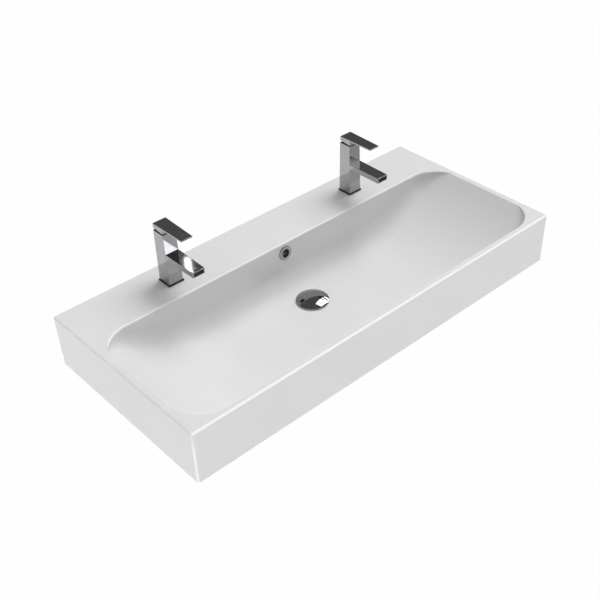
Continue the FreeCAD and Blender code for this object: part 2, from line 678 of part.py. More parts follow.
def tap_cartridge():
    cup = rod(CARTRIDGE_RADIUS, cartridge_seat, cartridge_top)
    cup = cup.cut(rod(cartridge_bore, fixed_disc_base, cartridge_top + CUT_OVERRUN))
    return cup.cut(water_ports(cartridge_seat - CUT_OVERRUN, fixed_disc_base + CUT_OVERRUN))


def tap_fixed_disc():
    disc = rod(cartridge_bore - THREAD_GAP, fixed_disc_base, fixed_disc_base + FIXED_DISC_THICKNESS)
    return disc.cut(water_ports(fixed_disc_base - CUT_OVERRUN, moving_disc_base))


def tap_moving_disc():
    disc = rod(MOVING_DISC_RADIUS, moving_disc_base, moving_disc_top, 0, MOVING_DISC_OFFSET)
    pocket = rod(SPINDLE_FOOT_RADIUS + FOOT_GAP, moving_disc_base + FOOT_POCKET_FLOOR,
                 moving_disc_top + CUT_OVERRUN)
    mixing = rod(MIXING_POCKET_RADIUS, moving_disc_base - CUT_OVERRUN,
                 moving_disc_base + MIXING_POCKET_DEPTH, 0, MOVING_DISC_OFFSET)
    return disc.cut([pocket, mixing])


def tap_retaining_nut():
    top = cartridge_top + NUT_HEIGHT
    nut = ring(NUT_RADIUS, CARRIER_NECK_RADIUS + NECK_GAP, cartridge_top, top)
    for length, width in ((NUT_SLOT_WIDTH, 2 * NUT_RADIUS), (2 * NUT_RADIUS, NUT_SLOT_WIDTH)):
        nut = nut.cut(centred_block(width, length, top - NUT_SLOT_DEPTH, top + CUT_OVERRUN))
    return nut


def tap_carrier():
    """Turns in the cartridge and carries the pivot pin, with a slot in which the spindle tips."""
    tip = math.radians(LIFT_RANGE)
    neck_top = cartridge_top + CARRIER_NECK_HEIGHT
    drum = rod(cartridge_bore - RUNNING_GAP, carrier_base, cartridge_top - NECK_GAP)
    drum = drum.fuse(rod(CARRIER_NECK_RADIUS, carrier_base, neck_top))
    half_wide = SPINDLE_WIDTH / 2 + SPINDLE_SLOT_GAP
    half_long = SPINDLE_WIDTH / 2 / math.cos(tip) + SPINDLE_SLOT_GAP
    upper = (neck_top - pivot_height) * math.tan(tip)
    lower = (pivot_height - carrier_base) * math.tan(tip)
    slot = block(-half_wide, half_wide, -half_long - lower, half_long + upper,
                 carrier_base - CUT_OVERRUN, neck_top + CUT_OVERRUN)
    return drum.cut([slot, pivot_rod(PIVOT_PIN_RADIUS + RUNNING_GAP, PIVOT_PIN_LENGTH)])


def pivot_rod(radius, length):
    return Part.makeCylinder(radius, length, Vector(-length / 2, 0, pivot_height), ACROSS)


def tap_pivot_pin():
    return pivot_rod(PIVOT_PIN_RADIUS, PIVOT_PIN_LENGTH)


def tap_spindle():
    shank_base = pivot_height - SPINDLE_SHANK_BELOW_PIVOT
    shank = centred_block(SPINDLE_WIDTH, SPINDLE_WIDTH, shank_base, spindle_top - SOCKET_GAP)
    neck = rod(SPINDLE_FOOT_NECK_RADIUS, foot_height, shank_base)
    foot = Part.makeSphere(SPINDLE_FOOT_RADIUS, Vector(0, 0, foot_height))
    shape = shank.fuse([neck, foot])
    return shape.cut(pivot_rod(PIVOT_PIN_RADIUS + RUNNING_GAP, SPINDLE_WIDTH + 2 * CUT_OVERRUN))


def tap_top_trim():
    top = COLUMN_TOP_HEIGHT + TRIM_THICKNESS
    plate = centred_block(TRIM_WIDTH, TRIM_WIDTH, COLUMN_TOP_HEIGHT, top)
    return plate.cut(rod(CARRIER_NECK_RADIUS + NECK_GAP, COLUMN_TOP_HEIGHT - CUT_OVERRUN, top + CUT_OVERRUN))


def screw_rod(radius, y0, y1):
    return Part.makeCylinder(radius, y1 - y0, Vector(0, y0, screw_height), BACKWARD)


def tap_handle():
    plate_base = lever_top - LEVER_PLATE_THICKNESS
    lever = tapered_plate(LEVER_BACK_WIDTH, lever_back_y, LEVER_FRONT_WIDTH, lever_front_y,
                          COLUMN_TOP_HEIGHT, lever_top)
    below = [
        (lever_front_y - CUT_OVERRUN, plate_base), (column_front_y, plate_base),
        (column_front_y, COLUMN_TOP_HEIGHT + LEVER_FRONT_GAP),
        (lever_back_y, COLUMN_TOP_HEIGHT + LEVER_BACK_GAP),
        (lever_back_y + CUT_OVERRUN, COLUMN_TOP_HEIGHT + LEVER_BACK_GAP),
        (lever_back_y + CUT_OVERRUN, COLUMN_TOP_HEIGHT - CUT_OVERRUN),
        (lever_front_y - CUT_OVERRUN, COLUMN_TOP_HEIGHT - CUT_OVERRUN)]
    points = [Vector(-LEVER_BACK_WIDTH, y, z) for y, z in below + below[:1]]
    lever = lever.cut(Part.Face(Part.makePolygon(points)).extrude(ACROSS * (2 * LEVER_BACK_WIDTH)))

    def shown(centre):
        return near(centre.z, lever_top) or near(centre.y, lever_front_y) or near(centre.y, lever_back_y)

    lever = lever.makeFillet(LEVER_EDGE_RADIUS, edges_where(lever, shown))
    width = SPINDLE_WIDTH + 2 * SOCKET_GAP
    socket = centred_block(width, width, COLUMN_TOP_HEIGHT, spindle_top)
    screw_hole = screw_rod(SCREW_RADIUS + RUNNING_GAP, 0, lever_back_y + CUT_OVERRUN)
    plug_hole = screw_rod(PLUG_RADIUS + RUNNING_GAP, lever_back_y - PLUG_LENGTH, lever_back_y + CUT_OVERRUN)
    return lever.cut([socket, screw_hole, plug_hole])


def tap_set_screw():
    start = SPINDLE_WIDTH / 2 + SOCKET_GAP
    return screw_rod(SCREW_RADIUS, start, start + SCREW_LENGTH)


def tap_cover_plug():
    return screw_rod(PLUG_RADIUS, lever_back_y - PLUG_LENGTH, lever_back_y)


def clamp_plate(z0, z1):
    """A horseshoe under the deck: a hole for the stud in front, a slot for the hoses behind."""
    plate = rod(CLAMP_RADIUS, z0, z1)
    slot = block(-CLAMP_SLOT_WIDTH / 2, CLAMP_SLOT_WIDTH / 2, -CLAMP_SLOT_FRONT, CLAMP_RADIUS + CUT_OVERRUN,
                 z0 - CUT_OVERRUN, z1 + CUT_OVERRUN)
    hole = rod(STUD_RADIUS + CLAMP_STUD_GAP, z0 - CUT_OVERRUN, z1 + CUT_OVERRUN, 0, -STUD_FORWARD)
    return plate.cut([slot, hole])


def tap_clamp_gasket():
    return clamp_plate(-DECK_THICKNESS - CLAMP_GASKET_THICKNESS, -DECK_THICKNESS)


def clamp_washer_base():
    return -DECK_THICKNESS - CLAMP_GASKET_THICKNESS - CLAMP_WASHER_THICKNESS


def tap_clamp_washer():
    base = clamp_washer_base()
    return clamp_plate(base, base + CLAMP_WASHER_THICKNESS)


def tap_clamp_nut():
    top = clamp_washer_base()
    nut = hex_nut(CLAMP_NUT_FLATS, STUD_RADIUS + THREAD_GAP, top - CLAMP_NUT_HEIGHT, top)
    nut.translate(Vector(0, -STUD_FORWARD, 0))
    return nut


def tap_stud():
    base = clamp_washer_base() - CLAMP_NUT_HEIGHT - STUD_PROJECTION
    return rod(STUD_RADIUS, base, GASKET_THICKNESS + STUD_IN_BODY - THREAD_GAP, 0, -STUD_FORWARD)


BASIN_PIECES = {"basin": basin, "overflow_ring": overflow_ring}

WASTE_PIECES = {
    "waste_body": waste_body,
    "waste_upper_seal": waste_upper_seal,
    "waste_lower_gasket": waste_lower_gasket,
    "waste_backnut": waste_backnut,
    "clicker_housing": clicker_housing,
    "clicker_spring": clicker_spring,
    "clicker_stem": clicker_stem,
    "waste_cap": waste_cap,
    "cap_seal": cap_seal,
}

TAP_PIECES = {
    "base_gasket": tap_base_gasket,
    "base_plate": tap_base_plate,
    "body": tap_body,
    "flow_straightener": tap_straightener,
    "cartridge": tap_cartridge,
    "fixed_disc": tap_fixed_disc,
    "moving_disc": tap_moving_disc,
    "retaining_nut": tap_retaining_nut,
    "carrier": tap_carrier,
    "pivot_pin": tap_pivot_pin,
    "spindle": tap_spindle,
    "top_trim": tap_top_trim,
    "handle": tap_handle,
    "set_screw": tap_set_screw,
    "cover_plug": tap_cover_plug,
    "stud": tap_stud,
    "clamp_gasket": tap_clamp_gasket,
    "clamp_washer": tap_clamp_washer,
    "clamp_nut": tap_clamp_nut,
}


def placed(shape, x, y, z):
    moved = shape.copy()
    moved.translate(Vector(x, y, z))
    return moved


def all_pieces():
    pieces = {name: make() for name, make in BASIN_PIECES.items()}
    for name, make in WASTE_PIECES.items():
        pieces[name] = placed(make(), 0, -WASTE_FROM_WALL, floor_z)
    for name, make in TAP_PIECES.items():
        shape = make()
        pieces["tap_left_" + name] = placed(shape, -TAP_SPACING / 2, -TAP_FROM_WALL, deck_z)
        pieces["tap_right_" + name] = placed(shape, TAP_SPACING / 2, -TAP_FROM_WALL, deck_z)
    return pieces


os.makedirs("parts", exist_ok=True)
for node, solid in all_pieces().items():
    solid.exportStep("parts/" + node + ".step")
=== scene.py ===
"""The hand basin's looks: glazed trough, square chrome taps, domed waste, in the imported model's frame."""
import json
import math

import bmesh
import bpy
from mathutils import Matrix, Vector


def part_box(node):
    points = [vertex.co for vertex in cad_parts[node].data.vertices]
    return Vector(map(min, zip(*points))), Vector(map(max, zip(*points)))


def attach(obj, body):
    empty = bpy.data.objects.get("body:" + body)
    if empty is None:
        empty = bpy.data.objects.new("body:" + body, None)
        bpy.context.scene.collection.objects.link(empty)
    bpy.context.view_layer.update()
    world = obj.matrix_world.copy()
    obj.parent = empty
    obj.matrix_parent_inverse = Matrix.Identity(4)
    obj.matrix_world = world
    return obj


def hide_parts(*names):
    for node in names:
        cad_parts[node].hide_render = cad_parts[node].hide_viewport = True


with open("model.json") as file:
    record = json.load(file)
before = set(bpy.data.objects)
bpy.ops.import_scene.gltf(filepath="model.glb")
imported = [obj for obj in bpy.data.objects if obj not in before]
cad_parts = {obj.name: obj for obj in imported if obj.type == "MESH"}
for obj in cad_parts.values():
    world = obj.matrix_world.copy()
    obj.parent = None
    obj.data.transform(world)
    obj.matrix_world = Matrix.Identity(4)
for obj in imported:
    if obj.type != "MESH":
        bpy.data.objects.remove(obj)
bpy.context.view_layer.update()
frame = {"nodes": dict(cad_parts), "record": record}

QUARTER = math.pi / 2
HALF_TURN = math.pi
SAME_PLACE = 1e-6
SIDES = ("left", "right")

# Basin sizes, in metres
APRON_HEIGHT = 0.125
APRON_THICKNESS = 0.014
DECK_THICKNESS = 0.016
EDGE_RADIUS = 0.005
FOOT_RADIUS = 0.003
BOWL_DEPTH = 0.110
BACK_DECK = 0.123
FRONT_RIM = 0.0155
END_RIM = 0.014
CORNER_RADIUS = 0.075
HEEL_RADIUS = 0.048
HEEL_DEPTH_SHARE = 0.65
RIM_RADIUS = 0.005
RIM_ROOM_SHARE = 0.3
WALL_DRAFT = math.radians(3.5)
END_SLOPE = math.radians(42.0)
LIP_RADIUS = 0.006
BOWL_SHELL = 0.012
BOSS_RADIUS = 0.038
BOSS_CORE = 0.004
WASTE_HOLE_RADIUS = 0.023
RECESS_RADIUS = 0.033
RECESS_DEPTH = 0.0035
OVERFLOW_BELOW_DECK = 0.026
OVERFLOW_HOLE_RADIUS = 0.0125
CHANNEL_WIDTH = 0.034
CHANNEL_DEPTH = 0.016
CHANNEL_HEIGHT = 0.007
CHANNEL_SKIN = 0.007
CHANNEL_FLOOR_SKIN = 0.006
DECK_HOLE_RADIUS = 0.0165
WALL_HOLE_RADIUS = 0.011
WALL_HOLE_SPACING = 0.280
# How far a tool runs past the face that it cuts
OVERRUN = 0.002

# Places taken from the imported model
basin_low, basin_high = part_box("basin")
half_width = basin_high.x
deck_z = basin_high.z
basin_depth = -basin_low.y
foot_z = deck_z - APRON_HEIGHT
floor_z = deck_z - BOWL_DEPTH
boss_z = basin_low.z
cap_low, cap_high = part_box("waste_cap")
waste_y = (cap_low.y + cap_high.y) / 2

slot_of_node = {piece["node"]: piece["material_slot"] for piece in frame["record"]["subparts"]}
bodies = frame["record"]["behaviour"]["bodies"]
body_of_node = {node: body for body, nodes in bodies.items() for node in nodes}


def plan_middle(low, high):
    """The middle of a box seen from above, as (x, y)."""
    return (low.x + high.x) / 2, (low.y + high.y) / 2


# Node arithmetic

class Term:
    """A number worked out inside a node tree, so that a rule reads as plain arithmetic."""

    def __init__(self, tree, socket):
        self.tree = tree
        self.socket = socket

    def math(self, operation, *others):
        node = self.tree.nodes.new("ShaderNodeMath")
        node.operation = operation
        for place, value in enumerate((self,) + others):
            self.feed(value, node.inputs[place])
        return Term(self.tree, node.outputs[0])

    def feed(self, value, socket):
        if isinstance(value, Term):
            self.tree.links.new(value.socket, socket)
        else:
            socket.default_value = value

    def __add__(self, other):
        return self.math("ADD", other)

    def __sub__(self, other):
        return self.math("SUBTRACT", other)

    def __mul__(self, other):
        return self.math("MULTIPLY", other)

    def __truediv__(self, other):
        return self.math("DIVIDE", other)

    def __neg__(self):
        return self.math("MULTIPLY", -1.0)

    def __rsub__(self, number):
        return self.math("MULTIPLY_ADD", -1.0, number)

    def sine(self):
        return self.math("SINE")

    def cosine(self):
        return self.math("COSINE")

    def part(self, start, end):
        """0 up to start, 1 from end on, and evenly between."""
        node = self.tree.nodes.new("ShaderNodeMapRange")
        node.clamp = True
        self.tree.links.new(self.socket, node.inputs["Value"])
        node.inputs["From Min"].default_value = start
        node.inputs["From Max"].default_value = end
        return Term(self.tree, node.outputs["Result"])


def walk(share, steps, start):
    """How far forward and up a path of runs and arcs has got at a share of its points.

    A run is (points, length, heading). An arc is (points, radius, first heading, last heading, side),
    where side is 1 for a turn upwards and -1 for a turn downwards.
    """
    total = sum(step[0] for step in steps)
    forward, up = start
    done = 0
    for points, size, heading, *turn in steps:
        part = share.part(done / total, (done + points) / total)
        done += points
        if turn:
            last, side = turn
            now = part * (last - heading) + heading
            forward = (now.sine() - sine_of(heading)) * size * side + forward
            up = (now.cosine() - cosine_of(heading)) * size * -side + up
        else:
            forward = part * size * cosine_of(heading) + forward
            up = part * size * sine_of(heading) + up
    return forward, up


def sine_of(angle):
    """The sine of a plain number or of a Term."""
    return angle.sine() if isinstance(angle, Term) else math.sin(angle)


def cosine_of(angle):
    """The cosine of a plain number or of a Term."""
    return angle.cosine() if isinstance(angle, Term) else math.cos(angle)


def step_shares(steps):
    """The share of a path's points at which each of its steps starts, and 1 at the end."""
    total = sum(step[0] for step in steps)
    shares = [0.0]
    for points, *_ in steps:
        shares.append(shares[-1] + points / total)
    return shares


def hump(share, start, end):
    """0 outside a stretch, and rising evenly to 1 in its middle."""
    middle = (start + end) / 2
    return share.part(start, middle) - share.part(middle, end)


def new_tree(name, inputs):
    """A Geometry Nodes tree with named number inputs, as (tree, {name: Term})."""
    tree = bpy.data.node_groups.new(name, "GeometryNodeTree")
    tree.interface.new_socket("Geometry", in_out="OUTPUT", socket_type="NodeSocketGeometry")
    for label in inputs:
        tree.interface.new_socket(label, in_out="INPUT", socket_type="NodeSocketFloat")
    entry = tree.nodes.new("NodeGroupInput")
    return tree, {label: Term(tree, entry.outputs[label]) for label in inputs}


def close_tree(tree, geometry, material):
    """Ends a tree in Realize Instances and Set Material."""
    realize = tree.nodes.new("GeometryNodeRealizeInstances")
    paint = tree.nodes.new("GeometryNodeSetMaterial")
    leave = tree.nodes.new("NodeGroupOutput")
    paint.inputs["Material"].default_value = material
    tree.links.new(geometry, realize.inputs[0])
    tree.links.new(realize.outputs[0], paint.inputs["Geometry"])
    tree.links.new(paint.outputs[0], leave.inputs[0])


def grown(name, tree, sizes):
    """The plain mesh that a tree gives for these sizes, as a new object."""
    seed = bpy.data.objects.new(name + "_seed", bpy.data.meshes.new(name + "_seed"))
    bpy.context.scene.collection.objects.link(seed)
    modifier = seed.modifiers.new("rule", "NODES")
    modifier.node_group = tree
    for item in tree.interface.items_tree:
        if item.in_out == "INPUT":
            modifier[item.identifier] = sizes[item.name]
    mesh = evaluated_mesh(seed)
    bpy.data.objects.remove(seed)
    return new_object(name, mesh)


def evaluated_mesh(piece):
    """A plain mesh of a piece with its modifiers worked in."""
    graph = bpy.context.evaluated_depsgraph_get()
    graph.update()
    return bpy.data.meshes.new_from_object(piece.evaluated_get(graph), depsgraph=graph)


def new_object(name, mesh):
    """A mesh as a new object in the scene, both under one name."""
    piece = bpy.data.objects.new(name, mesh)
    mesh.name = name
    bpy.context.scene.collection.objects.link(piece)
    return piece


# Basin

BASIN_SIZES = {
    "Width": 2 * half_width, "Depth": basin_depth, "Height": APRON_HEIGHT, "Deck Height": deck_z,
    "Edge Radius": EDGE_RADIUS, "Foot Radius": FOOT_RADIUS, "Bowl Depth": BOWL_DEPTH,
    "Back Deck": BACK_DECK, "Front Rim": FRONT_RIM, "End Rim": END_RIM, "Corner Radius": CORNER_RADIUS,
    "Heel Radius": HEEL_RADIUS, "Rim Radius": RIM_RADIUS, "Lip Radius": LIP_RADIUS,
    "Wall Draft": WALL_DRAFT, "End Slope": END_SLOPE, "Shell": BOWL_SHELL,
}
LEVEL_POINTS = 6
SWEEP_POINTS = 64
LIP_POINTS = 12
END_RIM_POINTS = 2
ARC_POINTS = 8
HEEL_POINTS = 18
WALL_POINTS = 6
FLAT_POINTS = 10
SHORT_POINTS = 3
# The mesh mark where the glaze is painted paler: a painted highlight on the rounded edges
PAINTED_HIGHLIGHT_MARK = "painted_edge_highlight"
# Steps of the basin's section: the bowl's back rim, its front rim and the front edge, all three with
# the painted highlight, and the front face below that edge, whose upright corner edges have it too
ROUNDED_STEPS = (2, 8, 10)
FRONT_FACE_STEP = 11
ROD_SIDES = 96
BASIN_SHARP_ANGLE = math.radians(35.0)


def rule_grid(tree, across, around):
    """A grid with its shares along the basin (-1 to 1) and round the section (0 to 1)."""
    grid = tree.nodes.new("GeometryNodeMeshGrid")
    grid.inputs["Vertices X"].default_value = 2 * across + 1
    grid.inputs["Vertices Y"].default_value = around + 1
    grid.inputs["Size X"].default_value = 2.0
    grid.inputs["Size Y"].default_value = 1.0
    position = tree.nodes.new("GeometryNodeInputPosition")
    split = tree.nodes.new("ShaderNodeSeparateXYZ")
    tree.links.new(position.outputs[0], split.inputs[0])
    return grid, Term(tree, split.outputs["X"]), Term(tree, split.outputs["Y"]) + 0.5


def placed_grid(tree, sheet, x, y, z):
    """Moves the grid's points to their places and joins those that meet."""
    combine = tree.nodes.new("ShaderNodeCombineXYZ")
    for value, socket in zip((x, y, z), combine.inputs):
        tree.links.new(value.socket, socket)
    move = tree.nodes.new("GeometryNodeSetPosition")
    tree.links.new(sheet, move.inputs["Geometry"])
    tree.links.new(combine.outputs[0], move.inputs["Position"])
    merge = tree.nodes.new("GeometryNodeMergeByDistance")
    merge.inputs["Distance"].default_value = SAME_PLACE
    tree.links.new(move.outputs[0], merge.inputs["Geometry"])
    return merge.outputs[0]


def bowl_line(size, share):
    """The bowl's floor line from the middle to its lip: (how far along, depth there)."""
    slope = size["End Slope"]
    both_radii = size["Bowl Depth"] / (1.0 - slope.cosine())
    level = size["Width"] / 2.0 - size["End Rim"] - both_radii * slope.sine()
    along, rise = walk(share, [
        (LEVEL_POINTS, level, 0.0),
        (SWEEP_POINTS, both_radii - size["Lip Radius"], 0.0, slope, 1),
        (LIP_POINTS, size["Lip Radius"], slope, 0.0, -1)], (0.0, 0.0))
    return along, (size["Bowl Depth"] - rise).math("MAXIMUM", 0.0)


def corner_inset(size, along):
    """How far the bowl's rounded corner draws a long wall in."""
    radius = size["Corner Radius"]
    past = (along - (size["Width"] / 2.0 - size["End Rim"] - radius)).math("MAXIMUM", 0.0)
    return radius - (radius * radius - past * past).math("MAXIMUM", 0.0).math("SQRT")


def heel_radius(size, depth):
    """The rounding at the foot of a long wall, which shrinks as the bowl gets shallow."""
    share = depth / size["Bowl Depth"]
    return (size["Heel Radius"] * share * (2.0 - share)).math("MINIMUM", depth * HEEL_DEPTH_SHARE)


def end_cap(place, middle, closing):
    """Draws the last row of points together, so that the end is closed."""
    return place + (middle - place) * closing


def basin_tree(material):
    """The whole outside of the basin and its bowl, section by section along its length, with the painted
    highlight marked.
    """
    tree, size = new_tree("basin_rule", BASIN_SIZES)
    lean = QUARTER - size["Wall Draft"]
    bowl_points = LEVEL_POINTS + SWEEP_POINTS + LIP_POINTS
    edge_points = END_RIM_POINTS + ARC_POINTS
    across = bowl_points + edge_points + 1
    around = 4 * ARC_POINTS + 2 * HEEL_POINTS + 2 * WALL_POINTS + 3 * FLAT_POINTS + 3 * SHORT_POINTS
    grid, station, turn = rule_grid(tree, across, around)
    reach = station.math("ABSOLUTE")
    along, depth = bowl_line(size, reach.part(0.0, bowl_points / across))
    edge_share = reach.part(bowl_points / across, (bowl_points + edge_points) / across)
    beyond, drop = walk(edge_share, [
        (END_RIM_POINTS, size["End Rim"] - size["Edge Radius"], 0.0),
        (ARC_POINTS, size["Edge Radius"], 0.0, -QUARTER, -1)], (0.0, 0.0))
    closing = reach.part((bowl_points + edge_points) / across, 1.0)
    inset = -drop
    foot_inset = inset * size["Foot Radius"] / size["Edge Radius"]
    corner = corner_inset(size, along)
    rim = (depth * RIM_ROOM_SHARE).math("MINIMUM", size["Rim Radius"])
    heel = heel_radius(size, depth)
    wall = (depth - (rim + heel) * (1.0 - lean.cosine())) / lean.sine()
    rim_room = rim * (1.0 - size["Wall Draft"].sine()) / size["Wall Draft"].cosine()
    side = (rim + heel) * lean.sine() + wall * lean.cosine() - rim_room
    bowl_width = size["Depth"] - size["Back Deck"] - size["Front Rim"] - corner * 2.0
    foot = size["Foot Radius"] - foot_inset
    section = [
        (SHORT_POINTS, size["Height"] - inset - foot_inset, QUARTER),
        (FLAT_POINTS, size["Back Deck"] + corner - rim_room, 0.0),
        (ARC_POINTS, rim, 0.0, -lean, -1),
        (WALL_POINTS, wall, -lean),
        (HEEL_POINTS, heel, -lean, 0.0, 1),
        (FLAT_POINTS, bowl_width - side * 2.0, 0.0),
        (HEEL_POINTS, heel, 0.0, lean, 1),
        (WALL_POINTS, wall, lean),
        (ARC_POINTS, rim, lean, 0.0, -1),
        (SHORT_POINTS, size["Front Rim"] + corner - rim_room - size["Edge Radius"], 0.0),
        (ARC_POINTS, size["Edge Radius"] - inset, 0.0, -QUARTER, -1),
        (SHORT_POINTS, size["Height"] - size["Edge Radius"] - size["Foot Radius"], -QUARTER),
        (ARC_POINTS, foot, -QUARTER, -HALF_TURN, -1),
        (FLAT_POINTS, size["Depth"] - inset - foot, HALF_TURN)]
    forward, up = walk(turn, section, (0.0, 0.0))
    starts = step_shares(section)
    # Painted highlight: a mark that is 1 in the middle of each rounded rim and the front edge and fades out
    # over the end roundings; the front face's upright corner edges are marked as well
    back_rim, front_rim, front_edge = [hump(turn, starts[step], starts[step + 1]) for step in ROUNDED_STEPS]
    rounding_share = END_RIM_POINTS / edge_points
    edge = (back_rim + front_rim + front_edge) * (1.0 - edge_share.part(rounding_share, 1.0))
    face_top, face_foot = starts[FRONT_FACE_STEP], starts[FRONT_FACE_STEP + 1]
    upright = turn.part(face_top, face_top + SAME_PLACE) - turn.part(face_foot, face_foot + SAME_PLACE)
    edge = edge.math("MAXIMUM", hump(edge_share, rounding_share, 1.0) * upright)
    y = end_cap(-forward, size["Depth"] / -2.0, closing)
    base = size["Deck Height"] - size["Height"] + foot_inset
    z = end_cap(up + base, size["Deck Height"] - size["Height"] / 2.0, closing)
    x = (along + beyond) * station.math("SIGN")
    marked = tree.nodes.new("GeometryNodeStoreNamedAttribute")
    marked.data_type = "FLOAT"
    marked.domain = "POINT"
    marked.inputs["Name"].default_value = PAINTED_HIGHLIGHT_MARK
    tree.links.new(grid.outputs["Mesh"], marked.inputs["Geometry"])
    tree.links.new(edge.socket, marked.inputs["Value"])
    close_tree(tree, placed_grid(tree, marked.outputs[0], x, y, z), material)
    return tree


def shell_tree(material):
    """The outside of the bowl's shell, as it hangs in the hollow underside."""
    tree, size = new_tree("shell_rule", BASIN_SIZES)
    lean = QUARTER - size["Wall Draft"]
    bowl_points = LEVEL_POINTS + SWEEP_POINTS + LIP_POINTS
    across = bowl_points + 1
    around = 2 * HEEL_POINTS + 2 * WALL_POINTS + 2 * FLAT_POINTS
    grid, station, turn = rule_grid(tree, across, around)
    reach = station.math("ABSOLUTE")
    along, depth = bowl_line(size, reach.part(0.0, bowl_points / across))
    closing = reach.part(bowl_points / across, 1.0)
    corner = corner_inset(size, along)
    deep = depth + size["Shell"]
    heel = heel_radius(size, depth) + size["Shell"] * depth / size["Bowl Depth"]
    wall = (deep - heel * (1.0 - lean.cosine())) / lean.sine()
    side = heel * lean.sine() + wall * lean.cosine()
    width = size["Depth"] - size["Back Deck"] - size["Front Rim"] - corner * 2.0 + size["Shell"] * 2.0
    forward, up = walk(turn, [
        (WALL_POINTS, wall, -lean),
        (HEEL_POINTS, heel, -lean, 0.0, 1),
        (FLAT_POINTS, width - side * 2.0, 0.0),
        (HEEL_POINTS, heel, 0.0, lean, 1),
        (WALL_POINTS, wall, lean),
        (FLAT_POINTS, width, HALF_TURN)], (size["Back Deck"] + corner - size["Shell"], 0.0))
    y = end_cap(-forward, size["Depth"] / -2.0, closing)
    z = end_cap(up + size["Deck Height"], size["Deck Height"], closing)
    x = along * station.math("SIGN")
    close_tree(tree, placed_grid(tree, grid.outputs["Mesh"], x, y, z), material)
    return tree


def outward(piece):
    """Turns a closed piece's faces outwards."""
    shape = bmesh.new()
    shape.from_mesh(piece.data)
    bmesh.ops.remove_doubles(shape, verts=shape.verts, dist=SAME_PLACE)
    bmesh.ops.dissolve_degenerate(shape, edges=shape.edges, dist=SAME_PLACE)
    bmesh.ops.recalc_face_normals(shape, faces=shape.faces)
    shape.to_mesh(piece.data)
    shape.free()
    return piece


def box_tool(x0, x1, y0, y1, z0, z1):
    """A box between these limits, to carve or to join with."""
    shape = bmesh.new()
    middle = Vector((x0 + x1, y0 + y1, z0 + z1)) / 2
    size = Matrix.Diagonal((x1 - x0, y1 - y0, z1 - z0, 1.0))
    bmesh.ops.create_cube(shape, size=1.0, matrix=Matrix.Translation(middle) @ size)
    mesh = bpy.data.meshes.new("tool")
    shape.to_mesh(mesh)
    shape.free()
    return new_object("tool", mesh)


def rod_tool(radius, start, end):
    """A round rod from one point to another, to carve or to join with."""
    shape = bmesh.new()
    run = Vector(end) - Vector(start)
    turn = run.to_track_quat("Z", "Y").to_matrix().to_4x4()
    middle = Matrix.Translation((Vector(start) + Vector(end)) / 2)
    bmesh.ops.create_cone(shape, cap_ends=True, segments=ROD_SIDES, radius1=radius, radius2=radius,
                          depth=run.length, matrix=middle @ turn)
    mesh = bpy.data.meshes.new("tool")
    shape.to_mesh(mesh)
    shape.free()
    return new_object("tool", mesh)


def upright_rod(radius, x, y, low, high):
    """A round rod that stands upright between two heights."""
    return rod_tool(radius, (x, y, low), (x, y, high))


def carved(piece, operation, *tools):
    """Cuts tools out of a closed piece, or joins them to it, and removes them."""
    for tool in tools:
        modifier = piece.modifiers.new("carve", "BOOLEAN")
        modifier.operation = operation
        modifier.solver = "MANIFOLD"
        modifier.object = tool
    mesh = evaluated_mesh(piece)
    piece.modifiers.clear()
    old = piece.data
    piece.data = mesh
    bpy.data.meshes.remove(old)
    for tool in tools:
        bpy.data.objects.remove(tool)
    return piece


def smoothed(piece, sharp_angle):
    """Smooth faces, sharp edges past an angle, and normals that keep the flat faces flat."""
    mesh = piece.data
    mesh.polygons.foreach_set("use_smooth", [True] * len(mesh.polygons))
    mesh.set_sharp_from_angle(angle=sharp_angle)
    modifier = piece.modifiers.new("even normals", "WEIGHTED_NORMAL")
    modifier.keep_sharp = True
    finished = evaluated_mesh(piece)
    piece.modifiers.clear()
    piece.data = finished
    finished.name = piece.name
    bpy.data.meshes.remove(mesh)
    return piece


def underside_hollow(material):
    """The room inside the aprons and under the deck, without the bowl, the boss and the overflow."""
    room = box_tool(APRON_THICKNESS - half_width, half_width - APRON_THICKNESS,
                    APRON_THICKNESS - basin_depth, -APRON_THICKNESS,
                    boss_z - OVERRUN, deck_z - DECK_THICKNESS)
    shell = outward(grown("shell", shell_tree(material), BASIN_SIZES))
    below_boss = boss_z - 2 * OVERRUN
    boss = upright_rod(BOSS_RADIUS, 0, waste_y, below_boss, floor_z - BOSS_CORE)
    housing = overflow_housing(below_boss, deck_z - DECK_THICKNESS / 2)
    return carved(room, "DIFFERENCE", shell, boss, housing)


def overflow_housing(low, high):
    """The block behind the bowl that the overflow channel runs in."""
    half = CHANNEL_WIDTH / 2 + CHANNEL_SKIN
    back_y = -BACK_DECK + CHANNEL_DEPTH + 2 * CHANNEL_SKIN
    return box_tool(-half, half, waste_y, back_y, low, high)


def overflow_hole():
    """A tilted rod through the bowl's back wall, square to it."""
    into = Vector((0, math.cos(WALL_DRAFT), -math.sin(WALL_DRAFT)))
    mouth = Vector((0, -BACK_DECK - OVERFLOW_BELOW_DECK * math.tan(WALL_DRAFT), deck_z - OVERFLOW_BELOW_DECK))
    return rod_tool(OVERFLOW_HOLE_RADIUS, mouth - into * OVERRUN, mouth + into * (CHANNEL_SKIN + OVERRUN))


def overflow_channel():
    """The way from behind the overflow ring down to the waste."""
    half = CHANNEL_WIDTH / 2
    front_y = CHANNEL_SKIN - BACK_DECK
    back_y = front_y + CHANNEL_DEPTH
    low_z = floor_z - CHANNEL_FLOOR_SKIN - CHANNEL_HEIGHT
    down = box_tool(-half, half, front_y, back_y, low_z, deck_z - OVERFLOW_BELOW_DECK + OVERFLOW_HOLE_RADIUS)
    along = box_tool(-half, half, waste_y, back_y, low_z, low_z + CHANNEL_HEIGHT)
    return carved(down, "UNION", along)


